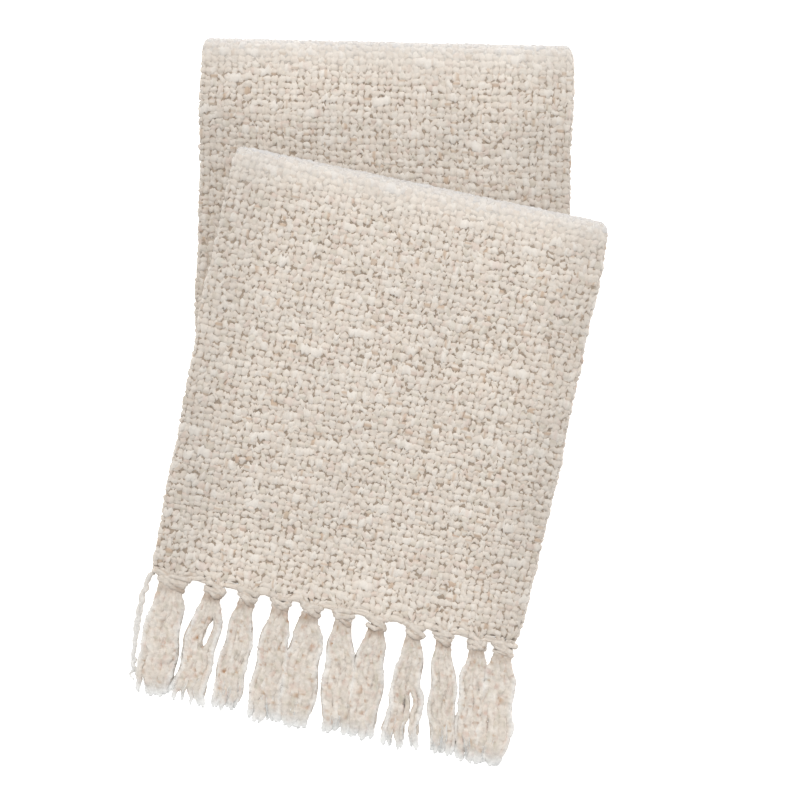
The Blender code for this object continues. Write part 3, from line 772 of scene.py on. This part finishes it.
def loose_fibres():
    """Fibres rooted in the yarns of the side folds and of the top folds, and standing out from them."""
    at_side = between(0, 1, FIBRES) < AT_SIDES
    left = between(0, 1, FIBRES) < 0.5
    side_u = np.where(left, between(-11, 1, FIBRES) * MM, PANEL + between(3, 18, FIBRES) * MM)
    side_s = between(STARTS[1], STARTS[-1] - 10 * MM, FIBRES)
    fold = np.where(between(0, 1, FIBRES) < 0.5, 1, 5)
    top_s = (STARTS[fold] + STARTS[fold + 1]) / 2 + between(-14, 14, FIBRES) * MM
    u = np.where(at_side, side_u, between(0, PANEL, FIBRES))
    s = np.where(at_side, side_s, top_s)
    run = np.linspace(0, 1, FIBRE_STATIONS)[None]
    lean_u, lean_s = (FIBRE_LEAN * between(-1, 1, FIBRES) * run**1.5 for _ in range(2))
    out = FIBRE_ROOT + FIBRE_RISE * between(0.35, 1, FIBRES) * np.sin(1.9 * run)
    x, height = letter_fold(u + lean_u, out)
    paths = strip_points(s + lean_s, x, height)
    tints = np.broadcast_to(SLUB, (FIBRES, FIBRE_STATIONS, 4)) * between(0.9, 1.05, FIBRES)[..., None]
    return tubes(paths, FIBRE_HALF * (1 - 0.5 * run), (0.5, 0.3, 0.8), 3), np.clip(tints, 0, 1)


yarn_piece("loose_fibres", [loose_fibres()], yarn_material)


# --- The fringe ---
# Every five warps or so are left long and tied in one overhand knot, tight against the last weft. Below it
# they hang as a flat bundle of soft, kinked yarn, whose cut ends are combed out thin and painted pale, as
# painted light from the lit table showing through them.
KNOT_LENGTH, KNOT_HEIGHT = 16 * MM, 14 * MM
LOW_KNOT_WIDTH, LOW_KNOT_HEIGHT = 17 * MM, 4.1 * MM
LOW_REACH, LOW_SPREAD = (0.80, 0.88, 0.82), 0.5  # the hidden layers' tassels, as shares of the top one
LOW_BED = 2.9 * MM  # how much each layer of tassels lifts the next
# painted light near white for the combed ends, and painted shade for the knots' creases and the tassels'
# necks
TIP_PAINTED_LIGHT, CREASE_SHADE = linear("F0F0EE"), linear("94785F")
TIP_FADE = 24 * MM  # the combed ends are painted pale over this length, as painted light from the lit table showing through them
RIM_PAINTED_LIGHT = 0.6  # painted light: how much paler a tassel's thin, fluffy sides are painted, to offset the shade on their flanks
BACK_TASSELS = tuple((39 * (number - 5), 104, 24, 0, 1.1, 0.0) for number in range(11))  # as FRONT_TASSELS
FRINGE_LIFT = 1.03  # loose fringe is a little paler than woven cloth
SLITS = {
    # tassel: place across it from -1 to 1, where it opens and closes as shares of its length, and width in mm
    0: ((-0.85, 0.78, 1.3, 3.5),),
    1: ((0.45, 0.16, 0.56, 5.5), (-0.5, 0.86, 1.3, 4.5), (0.1, 0.82, 1.3, 5.0), (0.6, 0.88, 1.3, 4.0)),
    2: ((-0.55, 0.90, 1.3, 3.0),),
    3: ((0.1, 0.88, 1.3, 4.0),),
    7: ((0.45, 0.44, 1.3, 5.0), (-0.25, 0.80, 1.3, 5.5)),
    9: ((-0.1, 0.93, 1.3, 3.0),),
    10: ((-0.55, 0.50, 0.78, 2.5),),
}
PEEKS = {1: -9.0, 3: -4.0, 7: -5.0, 9: -4.0, 10: 6.0}  # how far in mm a lower tassel lies beside the top one


class Tassel:
    """One tassel's own sizes and its frame on the plan: from its root, down along it and to its right."""

    def __init__(self, front, layer, number):
        row = (FRONT_TASSELS if front else BACK_TASSELS)[number]
        place, reach, spread, width = (size * MM for size in row[:4])
        heading, self.narrowing = row[4:]
        self.front, self.layer, self.number = front, layer, number
        self.top = top = front and layer == 2
        self.width = width if top else LOW_KNOT_WIDTH
        self.start = section_end(3, 1, place) if front else section_end(0, 0, place)
        self.across, self.down = heading_vector(heading)
        self.reach = reach if top else reach * LOW_REACH[layer]
        self.spread = spread if top else spread * LOW_SPREAD
        self.height = KNOT_HEIGHT if top else LOW_KNOT_HEIGHT
        self.middle = STACK / 2 + (layer - 1) * LAYER_PITCH + (1.6 * MM if top else 0.0)

    def points(self, along, sideways, z):
        """Points at these places along it and to its right, at these heights."""
        x = self.start[0] - self.across * along + self.down * sideways
        y = self.start[1] - self.down * along - self.across * sideways
        return np.stack(np.broadcast_arrays(x, y, z), axis=-1)

    def sideways(self, points):
        """How far to its right points lie."""
        return (points[..., 0] - self.start[0]) * self.down - (points[..., 1] - self.start[1]) * self.across

    def half_width(self, along, knot_share, inset=0.0):
        """Half its width along it, which opens from this share of its knot's width to its spread."""
        narrow = self.width * knot_share
        return narrow + (self.spread / 2 - inset - narrow) * opening(along)

    def sway(self, along):
        """How far all of it strays sideways."""
        turns = math.tau * along / (58 * MM) + 1e3 * self.start[0] / 9
        return 1.5 * MM * np.sin(turns) * smooth(along / (40 * MM))


def opening(along):
    """How much of the way to its full width a tassel has opened: quickly at first, and then slowly."""
    return 0.62 * smooth((along - 8 * MM) / (32 * MM)) + 0.38 * smooth((along - 25 * MM) / (65 * MM))


def knot_group(tassel):
    """A knot's turns: fat strands that slant down to the right across the bundle, narrower at its neck."""
    strands, stations, sides = (4, 30, 8) if tassel.top else (2, 14, 5)
    turn = np.linspace(math.pi + 0.7, -0.7, stations)[None]
    strand = np.arange(strands)[:, None] / (strands - 1)
    yarn = (1.9 + 0 * strand) * MM
    if tassel.top:
        yarn = (3.3 - 0.5 * strand + 0.3 * chance.normal(size=(strands, 1))) * MM
    full = (1.10 - 0.28 * strand) * between(0.90, 1.10, strands)
    sideways = (tassel.width / 2 - yarn * 0.6) * full * np.cos(turn) + 0.8 * MM * drift(strands, stations, 4)
    stand = np.maximum(tassel.height / 2 - yarn * 0.9, 0.3 * MM) * between(0.75, 1.15, strands)
    z = tassel.middle + stand * np.sin(turn)
    along = (KNOT_LENGTH - 6 * MM) * strand - 1 * MM + between(0.5, 5.5, strands) * MM * np.cos(turn)
    middles = tassel.points(along + 0.8 * MM * drift(strands, stations, 5), sideways, z)
    radii = yarn * (1 + 0.10 * drift(strands, stations, 2) + 0.08 * drift(strands, stations, 4))
    tints = blotched(strands, stations, sides, 1.1)
    # painted shade in the knot's crease, on its lower turns
    crease_shade = 0.55 * smooth((strand - 0.5) / 0.5) * smooth((np.cos(turn) + 0.3) / 1.2)
    rings = tubes(middles, radii, (-tassel.across, -tassel.down, 0.0), sides)
    return softly_lumpy(rings, middles, 0.06), np.clip(mixed(tints, CREASE_SHADE, crease_shade[..., None]), 0, 1)


def softly_lumpy(rings, middles, share):
    """Rings whose points stand in and out in soft lumps a few millimetres long."""
    count, stations, sides = rings.shape[:3]
    lumps = drift(count * sides, stations, 1).reshape(count, sides, stations).swapaxes(1, 2)
    return rings + (rings - middles[..., None, :]) * (share * lumps)[..., None]


def blotched(count, stations, sides, flecks):
    """Colours for each point of many rings, in soft blotches."""
    tints = yarn_tints(count * sides, stations, flecks)
    tints = tints.reshape(count, sides, stations, 4).swapaxes(1, 2)
    return 0.5 * tints + 0.25 * np.roll(tints, 1, axis=2) + 0.25 * np.roll(tints, -1, axis=2)


def bed_height(tassel, share, sideways):
    """How high the tassel's underside lies: on the tassels under it, or on the table beside and past them."""
    bed = tassel.layer * LOW_BED
    if not tassel.top:
        return np.full_like(share * sideways, bed)
    beside = smooth((np.abs(sideways) - tassel.spread * LOW_SPREAD / 2) / (12 * MM))
    return bed * (1 - smooth((share - 0.82) / 0.18)) * (1 - beside * smooth((share - 0.1) / 0.4))


def parted(tassel, side, sideways, share):
    """Moves yarns apart where a tassel has a slit, and says how narrow those beside it are there."""
    narrow = np.ones_like(sideways)
    for place, opens, closes, gap in SLITS.get(tassel.number, ()):
        open_here = smooth((share - opens) / 0.12) * (1 - smooth((share - closes + 0.12) / 0.12))
        sideways = sideways + np.where(side > place, 0.5, -0.5) * gap * MM * open_here
        narrow = narrow * (1 - 0.35 * open_here * np.exp(-(((side - place) / 0.4) ** 4)))
    return sideways, narrow


def hanging_group(tassel, stations):
    """A tassel's loose yarns below its knot: fluffy, wide and flat, each lapping over the next."""
    yarns, sides = (6, 12) if tassel.top else (3, 6)
    share = np.linspace(0, 1, stations)[None]
    side = np.linspace(-1, 1, yarns)[:, None]
    spacing = tassel.spread / (yarns + 0.7)
    uneven = 2 * MM * side**2 + np.minimum(np.abs(chance.normal(size=(yarns, 1))) * 3 * MM, 7 * MM)
    length = tassel.reach - KNOT_LENGTH * 0.5 - uneven
    along = KNOT_LENGTH * 0.5 + length * share
    left = (1 - share) * length
    low = smooth(left / (24 * MM))
    open_up = opening(along)
    rest = side * spacing * (yarns - 1) / 2 * (1 - tassel.narrowing * smooth((share - 0.45) / 0.55))
    wander = 0.9 * MM * drift(yarns, stations, 7) + 0.4 * MM * drift(yarns, stations, 2)
    knot_side = side * tassel.width * 0.27
    sideways = knot_side + (rest - knot_side + wander) * open_up + tassel.sway(along)
    narrow = 1.0
    if tassel.top:
        sideways, narrow = parted(tassel, side, sideways, share)
        wide, lift = 0.85 * spacing, 3.2 * MM
    else:
        sideways = sideways + PEEKS.get(tassel.number, 0.0) * MM * open_up * tassel.front
        wide, lift = 0.75 * spacing, 1.4 * MM
    lumps = 1 + 0.06 * drift(yarns, stations, 1) + 0.07 * drift(yarns, stations, 3)
    wide = wide * narrow * (0.62 + 0.38 * open_up) * lumps
    wide = wide * (0.80 + 0.20 * smooth(left / (20 * MM))) * (0.40 + 0.60 * smooth(left / (5 * MM)))
    bed = bed_height(tassel, share, sideways)
    hang = np.maximum(tassel.middle - 2.0 * MM - bed, 0) * (1 - smooth(share / 0.3))
    rise = lift * (0.40 + 0.60 * low) + 0.4 * MM * drift(yarns, stations, 3) * low
    middles = tassel.points(along, sideways, bed + hang + rise + 0.4 * MM)
    thick = 0.62 * (0.45 + 0.55 * low)
    middles[..., 2] = np.maximum(middles[..., 2], wide * thick * 0.9 + FLOOR_CLEAR)
    rings = tubes(middles, wide, (0, 0, 1), sides)
    rings[..., 2] = middles[..., None, 2] + (rings[..., 2] - middles[..., None, 2]) * thick[..., None]
    rings = softly_lumpy(rings, middles, 0.07)
    tint = blotched(yarns, stations, sides, 2.7) * FRINGE_LIFT
    if tassel.top:
        # painted shade at the tassel's neck under its knot, deeper under some knots than others
        neck_shade_depth = 0.3 + 0.3 * math.sin(1.3 * tassel.number) ** 2
        neck_shade = neck_shade_depth * np.exp(-(((along - KNOT_LENGTH + 2 * MM) / (5 * MM)) ** 2))
        tint = mixed(tint, CREASE_SHADE, neck_shade[..., None])
        # painted light on the tassel's thin sides
        aside = tassel.sideways(rings) - tassel.sway(along)[..., None]
        aside = np.abs(aside) / tassel.half_width(along, 0.35)[..., None]
        rim_light = RIM_PAINTED_LIGHT * smooth((aside - 0.65) / 0.4) * smooth((along - 20 * MM) / (25 * MM))[..., None]
        tint = mixed(tint, TIP_PAINTED_LIGHT, rim_light)
        # painted light: the combed ends grow pale, for the lit table showing through them
        fade = smooth(1 - left / TIP_FADE)
    else:
        # the lower tassels are painted towards the same pale grey along their length, more so towards their
        # ends
        fade = 0.35 + 0.65 * smooth(share / 0.9)
    return rings, np.clip(mixed(tint, TIP_PAINTED_LIGHT, fade[..., None]), 0, 1)


def filling(tassel):
    """The inner yarns of a tassel, which close the gaps between the outer ones."""
    count, stations = 4, 24
    share = np.linspace(0, 1, stations)[None]
    side = np.linspace(-1, 1, count)[:, None]
    length = tassel.reach - KNOT_LENGTH - 14 * MM
    along = KNOT_LENGTH + length * share
    width = tassel.spread / count
    sideways = side * tassel.half_width(along, 0.22, width * 0.62) + tassel.sway(along)
    sideways, narrow = parted(tassel, side, sideways, share)
    bed = bed_height(tassel, share, sideways)
    hang = np.maximum(tassel.middle - 2.4 * MM - bed, 0) * (1 - smooth(share / 0.3))
    radii = width * 0.62 * (0.6 + 0.4 * smooth(share / 0.3)) * (0.45 + 0.55 * smooth((1 - share) / 0.1))
    radii = radii * narrow**3
    middles = tassel.points(along, sideways, bed + hang + 1.5 * MM)
    middles[..., 2] = np.maximum(middles[..., 2], radii * 0.32 + FLOOR_CLEAR)
    tints = yarn_tints(count, stations, 0.5)
    return tubes(middles, radii, (0, 0, 1), 6, flat=0.32), tints


def fine_fibres(tassel):
    """Fine stray fibres: curled ones along the tassel and combed pale ones past the yarns' cut ends."""
    fibres, stations = 44, 10
    run = np.linspace(0, 1, stations)[None]
    side = between(-1, 1, fibres)
    last = between(0, 1, fibres) < 0.6
    start = np.where(last, tassel.reach - between(22, 40, fibres) * MM, between(20, 75, fibres) * MM)
    end = tassel.reach - np.minimum(np.abs(chance.normal(size=(fibres, 1))) * 4, 10) * MM - 3 * MM * side**2
    end = np.where(last, end, start + between(25, 50, fibres) * MM)
    along = start + (end - start) * run
    curl = np.where(last, 0.5, 1.3) * MM * drift(fibres, stations, 2)
    sideways = side * tassel.half_width(along, 0.3) * np.where(last, 0.90, 0.96) + curl + tassel.sway(along)
    sideways, _ = parted(tassel, side, sideways, along / tassel.reach)
    bed = bed_height(tassel, along / tassel.reach, sideways)
    flat = smooth((tassel.reach - along) / (26 * MM))
    z = bed + (1.0 + 5.0 * flat * (1 - 0.5 * side**2)) * MM + 0.4 * MM * drift(fibres, stations, 2)
    paths = tassel.points(along, sideways, np.maximum(z, 0.8 * MM))
    radii = 0.42 * MM * (1 - 0.5 * run) * between(0.6, 1.2, fibres)
    # the combed fibres past the cut ends are painted near white, as painted light from the lit table showing
    # through
    pale = np.broadcast_to(TIP_PAINTED_LIGHT, (fibres, stations, 4)) * between(0.94, 1.04, fibres)[..., None]
    cream = yarn_tints(fibres, stations, 0.8) * FRINGE_LIFT
    return tubes(paths, radii, (0, 0, 1), 3), np.clip(np.where(last[..., None], pale, cream), 0, 1)


def make_fringe(name):
    """One end's knots, top tassels, their fine fibres and the tassels below, each as a piece of its own."""
    knots, tops, fibres, lows = [], [], [], []
    for layer in range(3):
        for number in range(len(FRONT_TASSELS)):
            tassel = Tassel(name == "front", layer, number)
            knots.append(knot_group(tassel))
            if tassel.top:
                tops += [hanging_group(tassel, 62), filling(tassel)]
                fibres.append(fine_fibres(tassel))
            else:
                lows.append(hanging_group(tassel, 28 if tassel.front else 14))
    if name == "front":
        lows.append(stray_strand())
    pieces = {"knots": knots, "tassels": tops, "fine_fibres": fibres, "lower_tassels": lows}
    return [
        yarn_piece(f"{name}_{title}", groups, fringe_material)
        for title, groups in pieces.items()
        if groups
    ]


def stray_strand():
    """A yarn of the layer below that has come away at the left corner and lies beside the first tassel."""
    tassel = Tassel(True, 1, 0)
    stations, plies = 56, 2
    share = np.linspace(0, 1, stations)[None]
    along = (128 * MM - 6 * MM * np.arange(plies)[:, None]) * share
    bow = -22 * MM - 8.5 * MM * np.sin(math.pi * share**0.55) - 3.0 * MM * share
    sideways = bow + 0.7 * MM * drift(plies, stations, 4)
    tip = smooth((1 - share) * 128 / 14)
    middles = tassel.points(along, sideways, 1.6 * MM + 4.6 * MM * (1 - smooth(share / 0.12)))
    offset = (1.2 + 1.2 * smooth((share - 0.75) / 0.2)) * MM
    paths = plied(middles, (0, 0, 1), offset, 26 * MM, flat=0.6)
    radii = 2.5 * MM * (1 + 0.12 * drift(plies, stations, 2)) * (0.25 + 0.75 * tip)
    paths[..., 2] = np.maximum(paths[..., 2], radii * 0.8 + FLOOR_CLEAR)
    # painted paler towards its end, towards the same near white
    tint = mixed(yarn_tints(plies, stations, 0.4), 0.9 * TIP_PAINTED_LIGHT, 0.35 + 0.5 * share)
    return tubes(paths, radii, (0, 0, 1), 6, flat=0.8), tint


fringe_material = boucle_material("undyed_boucle_fringe", crumb=4.6 * MM, darkest=0.84, relief=2.8 * MM)
for name, node in (("front", "front_fringe"), ("back", "back_fringe")):
    for piece in make_fringe(name):
        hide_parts(node)
